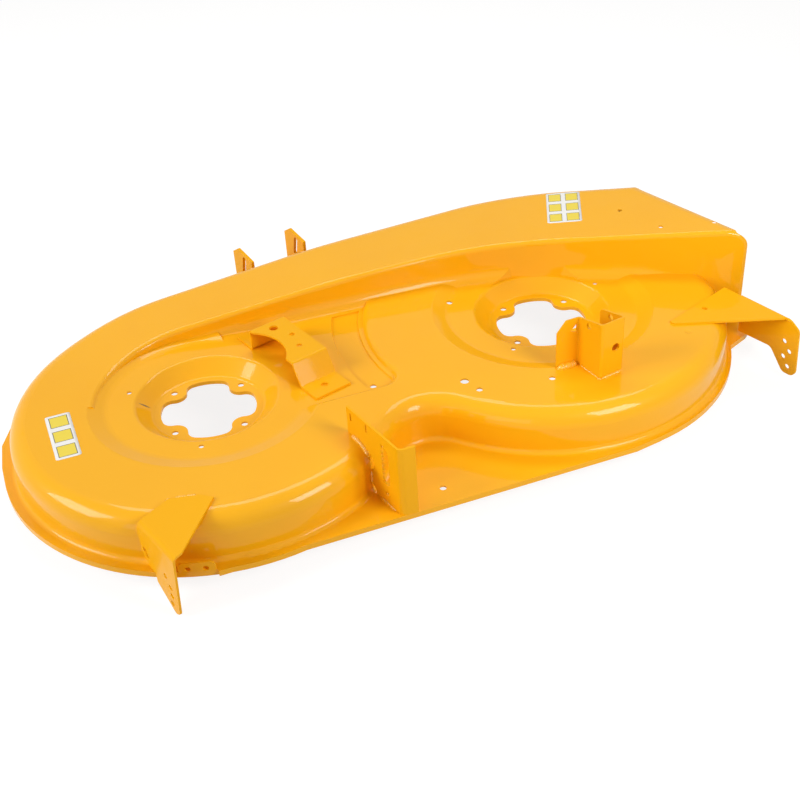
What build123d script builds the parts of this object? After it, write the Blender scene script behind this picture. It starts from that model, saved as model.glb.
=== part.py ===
from build123d import *
import math
import os

# Twin-blade side-discharge mower deck, millimetres, +Z up, +Y to the front of the machine.
# The origin is the left spindle axis on the top face of its seat, +X runs to the right spindle.

# Spindles and their seats
chamber_r = 264.0
chamber_lap = 28.0
spindle_pitch = 2 * chamber_r - chamber_lap
bolt_circle_r = 65.0
bolt_hole_r = 4.5
bolt_turn = 32.6
lobe_r = 65.0
lobe_scallop_r = 17.0
lobe_round_r = 14.0
collar_h = 3.0

# Pressed sheet and heights measured from the spindle seat
sheet = 2.5
seat_z = 0.0
floor_z = 19.5
top_z = 26.0
flange_z = -37.0
rim_z = -45.0

# Plan of the chambers
flange_w = 10.0
left_rim_r = chamber_r + 17.0
crown_r = 25.0
cusp_r = 60.0
rear_y = chamber_r + 13.0
rear_edge = ((-64.0, -rear_y), (spindle_pitch + 3, -rear_y - 0.5), (spindle_pitch + 43, -rear_y + 6))
shoulder_r = 7.0

# Discharge tunnel
skew_deg = 16.0
lean = math.radians(skew_deg)
across = Vector(math.cos(lean), math.sin(lean), 0)
ahead = Vector(-math.sin(lean), math.cos(lean), 0)
spindle_u = spindle_pitch * across.X
spindle_v = spindle_pitch * ahead.X
discharge_u = spindle_u + 289.4
front_turn = 27.0
front_bend_r = 400.0
band_start = 167.0
band_lap = 12.0
inner_r = 148.0
inner_lean = 3.0
inner_turn = 28.1
inner_clear = 99.0
inner_bend_r = 550.0
ramp_x = -130.0
ramp_round_r = 600.0
knee_x = 235.0
knee_z = 65.5
knee_round_r = 1500.0
tunnel_slope = 0.043
lift_x = spindle_pitch + 60
lift_slope = 0.078
lift_round_r = 2000.0
tunnel_cove_r = 20.0
cove_start_r = 4.0
cove_grow = 120.0
cove_stop = 205.0

# Dishes round the spindles and the recess between the chambers
seat_r = 76.0
seat_rise_r = 97.0
dish_floor_r = 136.0
dish_r = 159.0
seat_foot_r = 8.0
seat_edge_r = 7.0
dish_foot_r = 30.0
recess_bevel_w = 11.0
recess_edge_r = 8.0
groove_bevel_w = 6.0
recess_arc_r = 254.0
recess_rear_y = -90.0
recess_left_x = 50.0
recess_corner_r = 30.0
groove_arc_r = recess_arc_r + 53.0
groove_depth = 2.5
groove_rear_y = -80.0
groove_front_y = inner_r + 2
groove_corner_r = 12.0

# Holes pressed in the shell
small_hole_r = 3.5
guide_hole_r = 4.5
drain_hole_r = 6.0
seat_hole_ring_r = 109.5
seat_hole_turns = ((0.0, 150.0), (0.0, -108.0), (spindle_pitch, 17.0), (spindle_pitch, -137.0))
guide_holes = ((spindle_pitch - 112, 77.0), (spindle_pitch - 166, -151.0), (spindle_pitch - 68, -169.0),
               (213.0, -71.0), (239.0, 30.0 - rear_y))
drain_holes = ((spindle_pitch - 176, -125.0),)
tunnel_holes = ((spindle_pitch + 183, 104.0), (spindle_pitch + 209, 28.0), (spindle_pitch + 280, -3.0))

# Flange and lip
cove_r = 7.0
notch_points = ((spindle_pitch + 242, -127.0), (spindle_pitch + 279, -111.0), (spindle_pitch + 324, -76.0),
                (spindle_pitch + 315, -40.0), (spindle_pitch + 220, -20.0))
left_corner = ((-left_rim_r, 0.0), (0.6 - left_rim_r, 39.0), (6.5 - left_rim_r, 89.0),
               (26 - left_rim_r, 133.0), (56 - left_rim_r, 155.0), (-dish_r, 0.0))

# Folded brackets, placed by their distance across and along the machine
plate_t = 3.0
bend_r = 4.5
fold_r = 5.5
plate_z = top_z + plate_t
wheel_hole_r = 4.0
wheel_tip_r = 6.0

# Left wheel bracket, measured from the chamber wall where its hanging plate meets it
left_u = -198.0
left_v = -math.sqrt(chamber_r ** 2 - left_u ** 2)
left_top = ((0.0, 9.0), (fold_r, 9.0), (fold_r, -3.0), (50.0, 9.0), (82.0, -9.0), (93.0, -24.0),
            (14.0, -86.0), (0.0, -90.0))
left_top_r = 8.0
left_hang = ((-4.0, plate_z), (7.0, 2.0), (7.0, -12.0), (-1.0, -20.0), (-17.0, flange_z + 1),
             (-29.0, flange_z + 1), (-29.0, -49.0), (-67.0, -74.0), (-78.0, -68.0), (-90.0, plate_z))
left_holes = ((-58.0, -19.0), (-66.0, -32.0), (-66.0, -46.0), (-63.0, -60.0), (-9.0, -12.0), (-14.0, -18.0))

# Right wheel bracket, measured from the right spindle
right_u = spindle_u + chamber_r - 30.6
right_v = spindle_v - chamber_r + 89.8
right_top = ((0.0, 0.0), (-6.0, 31.0), (-131.0, 20.0), (-131.0, 13.0), (-8.0, -79.0), (-fold_r, -80.0),
             (-fold_r, -110.0), (0.0, -110.0))
right_hang = ((0.0, plate_z), (-82.0, plate_z), (-103.0, 15.0), (-107.0, -61.0), (-84.0, -61.0),
              (-59.0, -30.0), (0.0, -32.0))
right_hang_r = 11.0
right_holes = ((-81.0, -11.0), (-91.0, -24.5), (-82.0, -36.0), (-91.0, -49.5))
right_top_hole = (-70.0, 11.0)

# Bridge strap between the chambers
bridge_left_u = 107.0
bridge_right_u = 163.0
bridge_far_v = 58.0
bridge_near_v = -52.0
bridge_toe_v = -70.0
bridge_far_foot_v = 95.0
bridge_foot_cut = ((100.0, 99.7), (175.0, 73.9), (175.0, 110.0), (100.0, 110.0))
bridge_near_foot_v = -106.0
bridge_top_z = 52.0
bridge_lean = 1.7
bridge_scallop = ((106.0, 50.0), (124.0, 12.0), (106.0, -38.0))
bridge_holes = ((136.0, 39.0, 6.5), (147.0, 8.0, 4.0), (139.0, -22.0, 4.0), (134.0, -86.0, 5.0))

# Idler bracket on the right chamber, measured from its near left corner
idler_corner = (spindle_pitch - 12.7, 65.2 - chamber_r)
idler_turn = 10.0
idler_w = 39.0
idler_d = 49.0
idler_top_z = 110.0
idler_far_z = 98.0
idler_foot = 8.0
idler_tab_l = 31.0
idler_tab_cut = ((-idler_tab_l, 79.5), (-17.0, 97.3))
idler_relief = ((-12.0, 78.7), (-2.0, 75.5), (-2.0, 89.5))
idler_hole = (24.0, 67.5)
idler_hole_r = 6.0
idler_pin = (27.0, 95.5)
idler_pin_r = 4.5
idler_round_r = 7.0

# Front bracket with its two slotted ears
ear_t = 5.0
ear_left_u = 223.5
ear_right_u = 319.5
shelf_z = -20.0
shelf_v = chamber_r + 32.0
ear_outline = ((chamber_r - 22, shelf_z), (chamber_r - 22, 37.0), (chamber_r + 18, 45.0), (shelf_v, 36.0),
               (shelf_v, shelf_z))
ear_slot = (chamber_r + 2.5, 20.0)
ear_slot_l = 34.0
ear_slot_w = 9.0
ear_slot_tilt = 12.0
web_top_z = 6.0
web_left_x = 150.0
web_right_x = 268.0

# Rear centre gusset, measured along its plate from the fold at the rear flange
gusset_x = 171.7
gusset_turn = 13.2
gusset_l = 116.7
gusset_leg = 22.0
gusset_bend_r = 9.0
gusset_top_z = 66.0
gusset_relief_r = cove_r + 3
gusset_hole = (31.5, -21.0)
gusset_slots = ((107.5, 54.0), (72.0, 57.0))
gusset_slot_l = 12.0
gusset_slot_w = 3.0
gusset_notch = ((1.0, 22.0), (-8.0, 9.0), (1.0, -4.0))
tooth_count = 8
tooth_pitch = 7.0
tooth_depth = 4.0
tooth_slot_far = 41.0
tooth_slot_near = 24.0
tooth_slot_low_z = -5.0
tooth_slot_high_z = 52.0
tooth_slot_r = 14.0

# Rear tab on the lip
tab_turn = -108.2
tab_w = 46.0
tab_h = 22.0
tab_corner_r = 8.0
tab_hole_r = 3.5
tab_hole_gap = 22.0
tab_hole_z = 4.6

# Length of the cutting forms, longer than the whole deck
far_out = 3 * spindle_pitch


def cross_lines(a, b):
    # meeting point of two plan lines, each given as normal x, normal y and distance
    det = a[0] * b[1] - a[1] * b[0]
    x = (a[2] * b[1] - a[1] * b[2]) / det
    y = (a[0] * b[2] - a[2] * b[0]) / det
    return (x, y)


def tangent_line(cx, r, deg):
    # line touching a circle about a point on the spindle line, by the angle of its normal
    nx = math.cos(math.radians(deg))
    ny = math.sin(math.radians(deg))
    return (nx, ny, cx * nx + r)


def wall_outline(inset):
    # plan of the whole pressing inside its flange
    reach = discharge_u + (3 * sheet + 20 if inset else 0)
    r = chamber_r - inset
    front = tangent_line(spindle_pitch, r, 90 - front_turn)
    jamb = tangent_line(spindle_pitch, inner_clear + inset, 90 - inner_turn)
    end = (across.X, across.Y, reach)
    far = cross_lines(front, end)
    near = cross_lines(jamb, end)
    brow = cross_lines((0, 1, r), front)
    touch = (spindle_pitch + (inner_clear + inset) * jamb[0], (inner_clear + inset) * jamb[1])
    heel = cross_lines((0, 1, 0), jamb)
    with BuildSketch() as plan:
        with BuildLine():
            Polyline((0, r), brow, far, near, touch, (spindle_pitch, 0), (0, 0), close=True)
        make_face()
        fillet(plan.vertices().sort_by_distance((*brow, 0))[0], front_bend_r - inset)
        with BuildLine():
            Polyline((spindle_pitch, 0), heel, touch, close=True)
        make_face()
        Circle(r)
        with BuildLine():
            ThreePointArc((spindle_pitch - r, 0), (spindle_pitch, -r), (spindle_pitch + r, 0))
            Line((spindle_pitch + r, 0), (spindle_pitch - r, 0))
        make_face()
        # clear the sliver of the rear half disc that lies beyond the tunnel's jamb
        with BuildLine():
            beyond = spindle_pitch + r + 1
            Polyline(heel, (beyond, 0), cross_lines((1, 0, beyond), jamb), close=True)
        make_face(mode=Mode.SUBTRACT)
        with BuildLine():
            Polyline(heel, near, far, (heel[0], heel[1] + 60), close=True)
        make_face()
        cusp = plan.vertices().sort_by_distance((spindle_pitch / 2, -chamber_r / 3, 0))[0]
        fillet(cusp, cusp_r + inset)
    return plan.sketch


def chamber_side(inset, lap=0):
    # plan of everything on the chamber side of the tunnel's inner wall
    r = inner_r + inset + lap
    first = tangent_line(0, r, 90 - inner_lean)
    second = tangent_line(spindle_pitch, inner_clear + inset, 90 - inner_turn)
    bend = cross_lines(first, second)
    away = cross_lines(second, (across.X, across.Y, far_out))
    touch = (r * first[0], r * first[1])
    mid = math.radians((band_start + 90 - inner_lean) / 2)
    ray = (math.cos(math.radians(band_start)), math.sin(math.radians(band_start)))
    turn_in = (r * ray[0], r * ray[1])
    with BuildSketch() as plan:
        with BuildLine():
            Polyline(touch, bend, away, (away[0], -far_out), (-far_out, -far_out),
                     (far_out * ray[0], far_out * ray[1]), turn_in)
            ThreePointArc(turn_in, (r * math.cos(mid), r * math.sin(mid)), touch)
        make_face()
        corner = plan.vertices().sort_by_distance((bend[0], bend[1], 0))[0]
        fillet(corner, inner_bend_r - inset)
    return plan.sketch


def edges_over(form, outline, low):
    # edges of a form that run above an outline in plan, higher than a given level
    path = outline.wires()[0]
    found = ShapeList()
    for edge in form.edges():
        p = edge.position_at(0.5)
        level = abs(edge.tangent_at(0.5).Z) < 0.5
        if p.Z > low and level and path.distance_to(Vertex(p.X, p.Y, 0)) < 0.3:
            found.append(edge)
    return found


def tunnel_form(inset):
    # raised band that climbs round the front to the discharge end
    foot = flange_z - (60 if inset else 0)
    drop = inset
    plan = wall_outline(inset) - chamber_side(inset)
    with BuildPart() as form:
        with BuildSketch(Plane.XY.offset(foot)):
            add(plan)
        extrude(amount=far_out)
        with BuildSketch(Plane.XZ.offset(-far_out / 2)) as side:
            with BuildLine():
                lift_z = knee_z + tunnel_slope * (lift_x - knee_x)
                end_z = lift_z + lift_slope * (far_out - lift_x)
                Polyline((-far_out, foot), (-far_out, top_z - drop), (ramp_x, top_z - drop),
                         (knee_x, knee_z - drop), (lift_x, lift_z - drop), (far_out, end_z - drop),
                         (far_out, foot), close=True)
            make_face()
            fillet(side.vertices().sort_by_distance((ramp_x, top_z, 0))[0], ramp_round_r)
            fillet(side.vertices().sort_by_distance((knee_x, knee_z, 0))[0], knee_round_r)
            fillet(side.vertices().sort_by_distance((lift_x, lift_z, 0))[0], lift_round_r)
        extrude(amount=far_out, mode=Mode.INTERSECT)
        fillet(edges_over(form.part, wall_outline(inset), top_z - drop - 1), crown_r - inset)
        brow = edges_over(form.part, chamber_side(inset), top_z - drop - 1)
        ray = math.tan(math.radians(band_start))
        brow = brow.filter_by(lambda e: abs(e.position_at(0.5).Y - ray * e.position_at(0.5).X) > 1)
        fillet(brow, shoulder_r - inset)
    return form.part


def dish_profile(inset):
    # half section of the air above a spindle dish
    rise = (top_z - floor_z) / (dish_r - dish_floor_r)
    high = top_z + 10
    with BuildSketch(Plane.XZ) as half:
        with BuildLine():
            Polyline((-seat_r, high), (-seat_r, seat_z), (seat_r, seat_z), (seat_rise_r, floor_z),
                     (dish_floor_r, floor_z), (dish_r + 10 / rise, high), close=True)
        make_face()
        fillet(half.vertices().sort_by_distance((seat_r, seat_z, 0))[0], seat_foot_r)
        fillet(half.vertices().sort_by_distance((seat_rise_r, floor_z, 0))[0], seat_edge_r)
        fillet(half.vertices().sort_by_distance((dish_floor_r, floor_z, 0))[0], dish_foot_r)
        if inset:
            offset(amount=inset, kind=Kind.INTERSECTION)
        with Locations((-far_out / 2, 0)):
            Rectangle(far_out, far_out, mode=Mode.SUBTRACT)
    return half.sketch


def chamber_form(inset):
    # the two round chambers on the near side of the tunnel wall
    foot = flange_z - (60 if inset else 0)
    with BuildPart() as form:
        with BuildSketch(Plane.XY.offset(foot)):
            add(wall_outline(inset) & chamber_side(inset, band_lap))
        extrude(amount=top_z - inset - foot)
        fillet(edges_over(form.part, wall_outline(inset), top_z - inset - 1), crown_r - inset)
        for x in (0, spindle_pitch):
            half = dish_profile(inset).moved(Location((x, 0, 0)))
            revolve(half, Axis((x, 0, 0), (0, 0, 1)), mode=Mode.SUBTRACT)
        add(recess_air(inset), mode=Mode.SUBTRACT)
        add(groove_air(inset), mode=Mode.SUBTRACT)
        if not inset:
            fillet(dish_edges(form.part), recess_edge_r)
    return form.part


def dish_edges(form):
    # the edges where the chamber tops break into the dishes and the recess
    outer = wall_outline(0).wires()[0]
    inner = chamber_side(0, band_lap).wires()[0]
    found = ShapeList()
    for edge in form.edges():
        p = edge.position_at(0.5)
        spot = Vertex(p.X, p.Y, 0)
        level = abs(p.Z - top_z) < 0.01 and abs(edge.position_at(0.05).Z - top_z) < 0.01
        if level and outer.distance_to(spot) > crown_r + 1 and inner.distance_to(spot) > 0.3:
            found.append(edge)
    return found


def recess_air(inset):
    # the shallow recess between the chambers, bevelled down to its floor
    low = floor_z - inset
    with BuildPart() as air:
        with BuildSketch(Plane.XY.offset(low)) as plan:
            with BuildLine():
                Polyline((recess_left_x, recess_rear_y), (spindle_pitch, recess_rear_y),
                         (spindle_pitch, inner_r + 60), (recess_left_x, inner_r + 60), close=True)
            make_face()
            with Locations((spindle_pitch, 0)):
                Circle(recess_arc_r, mode=Mode.SUBTRACT)
            corner = plan.vertices().sort_by_distance((spindle_pitch / 2, recess_rear_y, 0))[0]
            fillet(corner, recess_corner_r)
        extrude(amount=top_z + 10 - low)
        base = air.faces().sort_by(Axis.Z)[0]
        chamfer(base.edges(), length=top_z - floor_z, length2=recess_bevel_w, reference=base)
    return air.part


def groove_air(inset):
    # the shallow groove that follows the right chamber inside the recess
    low = floor_z - groove_depth - inset
    with BuildPart() as air:
        with BuildSketch(Plane.XY.offset(low)) as plan:
            with Locations((spindle_pitch, 0)):
                Circle(groove_arc_r)
                Circle(recess_arc_r + recess_bevel_w, mode=Mode.SUBTRACT)
            with Locations((spindle_pitch - recess_arc_r, (groove_front_y + groove_rear_y) / 2)):
                Rectangle(recess_arc_r, groove_front_y - groove_rear_y, mode=Mode.INTERSECT)
            fillet(plan.vertices(), groove_corner_r)
        extrude(amount=groove_depth + 4)
        base = air.faces().sort_by(Axis.Z)[0]
        chamfer(base.edges(), length=groove_depth, length2=groove_bevel_w, reference=base)
    return air.part


def rim_outline():
    # plan of the flange edge, left running past the discharge end
    with BuildSketch() as plan:
        add(wall_outline(0))
        offset(amount=flange_w)
        Circle(left_rim_r)
        with BuildLine():
            Polyline(*rear_edge, (spindle_pitch, 0), (0, 0), close=True)
        make_face()
        with BuildLine():
            Polyline(*notch_points, close=True)
        make_face()
        with BuildLine():
            Polyline(*left_corner, close=True)
        make_face()
    return plan.sketch


def cove_section(spot, turn, r):
    # cross section of the hollow cove at the foot of the tunnel wall, facing the chambers
    out = Vector(-math.sin(math.radians(turn)), -math.cos(math.radians(turn)), 0)
    plane = Plane(origin=(spot[0], spot[1], floor_z), x_dir=out, z_dir=out.cross(Vector(0, 0, 1)))
    k = r * (1 - math.sqrt(0.5))
    with BuildSketch(plane) as section:
        with BuildLine():
            ThreePointArc((r, 0), (k, k), (0, r))
            Polyline((0, r), (-1, r), (-1, -4), (r, -4), (r, 0))
        make_face()
    return section.sketch


def tunnel_cove():
    # the cove runs along both straights and the bend, and fades out at its ends
    first = tangent_line(0, inner_r, 90 - inner_lean)
    second = tangent_line(spindle_pitch, inner_clear, 90 - inner_turn)
    bend = cross_lines(first, second)
    run = inner_bend_r * math.tan(math.radians(inner_turn - inner_lean) / 2)
    d1 = (first[1], -first[0])
    d2 = (second[1], -second[0])
    start = (inner_r * first[0], inner_r * first[1])
    full = (start[0] + cove_grow * d1[0], start[1] + cove_grow * d1[1])
    bend_in = (bend[0] - run * d1[0], bend[1] - run * d1[1])
    bend_out = (bend[0] + run * d2[0], bend[1] + run * d2[1])
    touch = (spindle_pitch + inner_clear * second[0], inner_clear * second[1])
    fade = (touch[0] + (cove_stop - cove_grow / 2) * d2[0], touch[1] + (cove_stop - cove_grow / 2) * d2[1])
    stop = (touch[0] + cove_stop * d2[0], touch[1] + cove_stop * d2[1])
    middle = (bend_in[0] - inner_bend_r * first[0], bend_in[1] - inner_bend_r * first[1])
    with BuildPart() as cove:
        before = cove_section(bend_in, inner_lean, tunnel_cove_r)
        after = cove_section(bend_out, inner_turn, tunnel_cove_r)
        grown = cove_section(full, inner_lean, tunnel_cove_r)
        fading = cove_section(fade, inner_turn, tunnel_cove_r)
        loft([cove_section(start, inner_lean, cove_start_r), grown])
        loft([grown, before])
        revolve(before, Axis((*middle, 0), (0, 0, -1)), revolution_arc=inner_turn - inner_lean)
        loft([after, fading])
        loft([fading, cove_section(stop, inner_turn, cove_start_r)])
        # the right seat keeps its cone where the cove reaches over it
        with BuildSketch(Plane(origin=(spindle_pitch, 0, 0), x_dir=(1, 0, 0), z_dir=(0, -1, 0))):
            with BuildLine():
                high = floor_z + tunnel_cove_r
                Polyline((0, -5), (seat_rise_r + 3, -5), (seat_rise_r + 7, high), (0, high), close=True)
            make_face()
        revolve(axis=Axis((spindle_pitch, 0, 0), (0, 0, 1)), mode=Mode.SUBTRACT)
    return cove.part


def lobe_plan(grow):
    # plan of both four-lobed cut-outs, waisted round the bolts
    with BuildSketch() as lobes:
        with Locations((0, 0), (spindle_pitch, 0)):
            Circle(lobe_r + grow)
            with PolarLocations(bolt_circle_r, 4, start_angle=bolt_turn):
                Circle(lobe_scallop_r - grow, mode=Mode.SUBTRACT)
        fillet(lobes.vertices(), lobe_round_r + grow)
    return lobes.sketch


def level_plane(z, u=0, v=0):
    # plan plane of the machine about a point, local x across and local y ahead
    return Plane(origin=across * u + ahead * v + Vector(0, 0, z), x_dir=across, z_dir=(0, 0, 1))


def side_plane(u, v=0):
    # upright plane along the machine, local x ahead and local y up
    return Plane(origin=across * u + ahead * v, x_dir=ahead, z_dir=across)


def cross_plane(u, v):
    # upright plane across the machine, local x across and local y up
    return Plane(origin=across * u + ahead * v, x_dir=across, z_dir=-ahead)


def corner_of(sketch, spot):
    # vertex of a sketch at a point
    return sketch.vertices().sort_by_distance((*spot, 0))[0]


def folded_plate(u, v, inward, plan, plan_rounds, hang, hang_rounds, holes):
    # plate lying on the deck with one side folded down, the fold's outer face at u
    depth = plate_z - rim_z + chamber_r
    with BuildPart() as plate:
        with BuildSketch(cross_plane(u, v + chamber_r)) as section:
            with BuildLine():
                Polyline((0, -depth), (0, plate_z), (inward * chamber_r, plate_z),
                         (inward * chamber_r, top_z), (inward * plate_t, top_z),
                         (inward * plate_t, -depth), close=True)
            make_face()
            fillet(corner_of(section, (0, plate_z)), fold_r)
            fillet(corner_of(section, (inward * plate_t, top_z)), fold_r - plate_t)
        extrude(amount=2 * chamber_r)
        with BuildSketch(level_plane(-depth, u, v)) as outline:
            with BuildLine():
                Polyline(*plan, close=True)
            make_face()
            for k, r in plan_rounds:
                fillet(corner_of(outline, plan[k]), r)
        extrude(amount=2 * depth, mode=Mode.INTERSECT)
        # the folded strip keeps only the shape of the hanging plate
        with BuildSketch(side_plane(u, v), mode=Mode.PRIVATE) as shape:
            with BuildLine():
                Polyline(*hang, close=True)
            make_face()
            for k, r in hang_rounds:
                fillet(corner_of(shape, hang[k]), r)
        with BuildSketch(side_plane(u, v)):
            Rectangle(far_out, far_out)
            add(shape.sketch_local, mode=Mode.SUBTRACT)
            with Locations(*holes):
                Circle(wheel_hole_r)
        extrude(amount=inward * fold_r, mode=Mode.SUBTRACT)
        add(chambers, mode=Mode.SUBTRACT)
    return plate.part


os.makedirs("parts", exist_ok=True)

chambers = chamber_form(0)

with BuildPart() as deck_shell:
    with BuildSketch(Plane.XY.offset(rim_z)):
        add(rim_outline())
    extrude(amount=flange_z - rim_z)
    with BuildSketch(Plane.XY.offset(rim_z)):
        add(rim_outline())
        offset(amount=-sheet)
    extrude(amount=flange_z - sheet - rim_z, mode=Mode.SUBTRACT)
    add(tunnel_form(0))
    add(chambers)
    with BuildSketch(level_plane(rim_z)):
        with Locations((discharge_u + far_out / 2, 0)):
            Rectangle(far_out, far_out)
    extrude(amount=far_out, mode=Mode.SUBTRACT)
    wall_foot = edges_over(deck_shell.part, wall_outline(0), flange_z - 0.1)
    wall_foot = wall_foot.filter_by(lambda e: e.position_at(0.5).Z < flange_z + 0.1)
    wall_foot = wall_foot.filter_by(lambda e: e.position_at(0.5).X < spindle_pitch + chamber_r)
    fillet(wall_foot, cove_r)
    add(tunnel_cove())
    add(tunnel_form(sheet), mode=Mode.SUBTRACT)
    add(chamber_form(sheet), mode=Mode.SUBTRACT)
    # four-lobed spindle cut-outs with turned-down edges, and their bolt holes
    with BuildSketch(Plane.XY.offset(seat_z - sheet - collar_h)):
        add(lobe_plan(sheet))
    extrude(amount=collar_h + sheet / 2)
    with BuildSketch(Plane.XY.offset(seat_z - 10)):
        add(lobe_plan(0))
        with Locations((0, 0), (spindle_pitch, 0)):
            with PolarLocations(bolt_circle_r, 4, start_angle=bolt_turn):
                Circle(bolt_hole_r)
    extrude(amount=20, mode=Mode.SUBTRACT)
    with BuildSketch(Plane.XY.offset(flange_z - 5)):
        for x, turn in seat_hole_turns:
            with Locations((x, 0)):
                with PolarLocations(seat_hole_ring_r, 1, start_angle=turn):
                    Circle(small_hole_r)
        with Locations(*guide_holes):
            Circle(guide_hole_r)
        with Locations(*drain_holes):
            Circle(drain_hole_r)
        with Locations(*tunnel_holes):
            Circle(small_hole_r)
    extrude(amount=180, mode=Mode.SUBTRACT)
deck_shell.part.label = "deck_shell"
export_step(deck_shell.part, "parts/deck_shell.step")

with BuildPart() as left_wheel_bracket:
    add(folded_plate(left_u, left_v, 1, left_top, ((3, left_top_r), (6, left_top_r)), left_hang,
                     ((7, wheel_tip_r), (8, wheel_tip_r)), left_holes))
left_wheel_bracket.part.label = "left_wheel_bracket"
export_step(left_wheel_bracket.part, "parts/left_wheel_bracket.step")

with BuildPart() as right_wheel_bracket:
    add(folded_plate(right_u, right_v, -1, right_top, (), right_hang,
                     [(k, right_hang_r) for k in (2, 3, 4, 5)], right_holes))
    with BuildSketch(level_plane(top_z, right_u, right_v)):
        with Locations(right_top_hole):
            Circle(wheel_hole_r)
    extrude(amount=plate_t, mode=Mode.SUBTRACT)
right_wheel_bracket.part.label = "right_wheel_bracket"
export_step(right_wheel_bracket.part, "parts/right_wheel_bracket.step")

with BuildPart() as bridge_bracket:
    with BuildSketch(side_plane(bridge_left_u)) as hat:
        with BuildLine():
            Polyline((bridge_far_foot_v, floor_z + plate_t), (bridge_far_v, floor_z + plate_t),
                     (bridge_far_v, bridge_top_z), (bridge_near_v, bridge_top_z),
                     (bridge_toe_v, floor_z + plate_t), (bridge_near_foot_v, floor_z + plate_t),
                     (bridge_near_foot_v, floor_z), (bridge_toe_v + bridge_lean, floor_z),
                     (bridge_near_v + bridge_lean, bridge_top_z - plate_t),
                     (bridge_far_v - plate_t, bridge_top_z - plate_t), (bridge_far_v - plate_t, floor_z),
                     (bridge_far_foot_v, floor_z), close=True)
        make_face()
        outside = [(bridge_far_v, bridge_top_z), (bridge_near_v, bridge_top_z)]
        outside += [(bridge_far_v - plate_t, floor_z), (bridge_toe_v + bridge_lean, floor_z)]
        inside = [(bridge_far_v, floor_z + plate_t), (bridge_toe_v, floor_z + plate_t)]
        inside += [(bridge_far_v - plate_t, bridge_top_z - plate_t)]
        inside += [(bridge_near_v + bridge_lean, bridge_top_z - plate_t)]
        fillet([hat.vertices().sort_by_distance((*p, 0))[0] for p in outside], bend_r)
        fillet([hat.vertices().sort_by_distance((*p, 0))[0] for p in inside], bend_r - plate_t)
    extrude(amount=bridge_right_u - bridge_left_u)
    with BuildSketch(level_plane(floor_z - 5)):
        with BuildLine():
            ThreePointArc(*bridge_scallop)
            Line(bridge_scallop[2], bridge_scallop[0])
        make_face()
        with BuildLine():
            Polyline(*bridge_foot_cut, close=True)
        make_face()
        for u, v, r in bridge_holes:
            with Locations((u, v)):
                Circle(r)
    extrude(amount=50, mode=Mode.SUBTRACT)
bridge_bracket.part.label = "bridge_bracket"
export_step(bridge_bracket.part, "parts/bridge_bracket.step")

idler_lean = math.radians(idler_turn)
idler_along = Vector(math.cos(idler_lean), math.sin(idler_lean), 0)
idler_back = Vector(-math.sin(idler_lean), math.cos(idler_lean), 0)
idler_spot = Vector(*idler_corner, 0)
tab_spot = idler_spot + idler_back * idler_d
with BuildPart() as idler_bracket:
    # channel and side tab in one folded strip, the tab turned to lie along the spindle line
    plan = Plane(origin=idler_spot + Vector(0, 0, top_z - idler_foot), x_dir=idler_along, z_dir=(0, 0, 1))
    tab_end = (-idler_tab_l * math.cos(idler_lean), idler_d + idler_tab_l * math.sin(idler_lean))
    tab_rear = (math.sin(idler_lean), math.cos(idler_lean), idler_d * math.cos(idler_lean) + plate_t)
    heel = cross_lines(tab_rear, (1, 0, plate_t))
    tab_back = (tab_end[0] + plate_t * tab_rear[0], tab_end[1] + plate_t * tab_rear[1])
    with BuildSketch(plan) as channel:
        with BuildLine():
            Polyline(tab_end, (0, idler_d), (0, 0), (idler_w, 0), (idler_w, idler_d),
                     (idler_w - plate_t, idler_d), (idler_w - plate_t, plate_t), (plate_t, plate_t),
                     heel, tab_back, close=True)
        make_face()
        fillet([corner_of(channel, p) for p in ((0, 0), (idler_w, 0), heel)], bend_r)
        inside = ((0, idler_d), (idler_w - plate_t, plate_t), (plate_t, plate_t))
        fillet([corner_of(channel, p) for p in inside], bend_r - plate_t)
    extrude(amount=idler_top_z - top_z + idler_foot)
    side = Plane(origin=idler_spot, x_dir=idler_back, z_dir=idler_along)
    drop = (idler_top_z - idler_far_z) / idler_d
    with BuildSketch(side.offset(-2 * idler_tab_l)):
        with BuildLine():
            Polyline((0, idler_top_z), (2 * idler_d, idler_top_z - 2 * idler_d * drop),
                     (2 * idler_d, 2 * idler_top_z), (0, 2 * idler_top_z), close=True)
        make_face()
    extrude(amount=2 * idler_tab_l + 2 * idler_w, mode=Mode.SUBTRACT)
    # chamfered tab with a three-cornered relief beside its bend
    with BuildSketch(Plane(origin=tab_spot, x_dir=(1, 0, 0), z_dir=(0, -1, 0)).offset(plate_t)):
        with BuildLine():
            low, high = idler_tab_cut
            Polyline(low, high, (high[0], idler_top_z), (2 * low[0], idler_top_z), (2 * low[0], low[1]),
                     close=True)
        make_face()
        with BuildLine():
            Polyline(*idler_relief, close=True)
        make_face()
    extrude(amount=-3 * plate_t, mode=Mode.SUBTRACT)
    with BuildSketch(Plane(origin=idler_spot, x_dir=idler_along, z_dir=-idler_back)):
        with Locations(idler_hole):
            Circle(idler_hole_r)
    extrude(amount=-2 * plate_t, mode=Mode.SUBTRACT)
    with BuildSketch(side):
        with Locations(idler_pin):
            Circle(idler_pin_r)
    extrude(amount=idler_w, mode=Mode.SUBTRACT)
    far_top = idler_spot + idler_along * idler_w + idler_back * idler_d + Vector(0, 0, idler_far_z)
    fillet(idler_bracket.edges().sort_by_distance(far_top - idler_along * (plate_t / 2))[0], idler_round_r)
    add(chambers, mode=Mode.SUBTRACT)
idler_bracket.part.label = "idler_bracket"
export_step(idler_bracket.part, "parts/idler_bracket.step")

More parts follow.
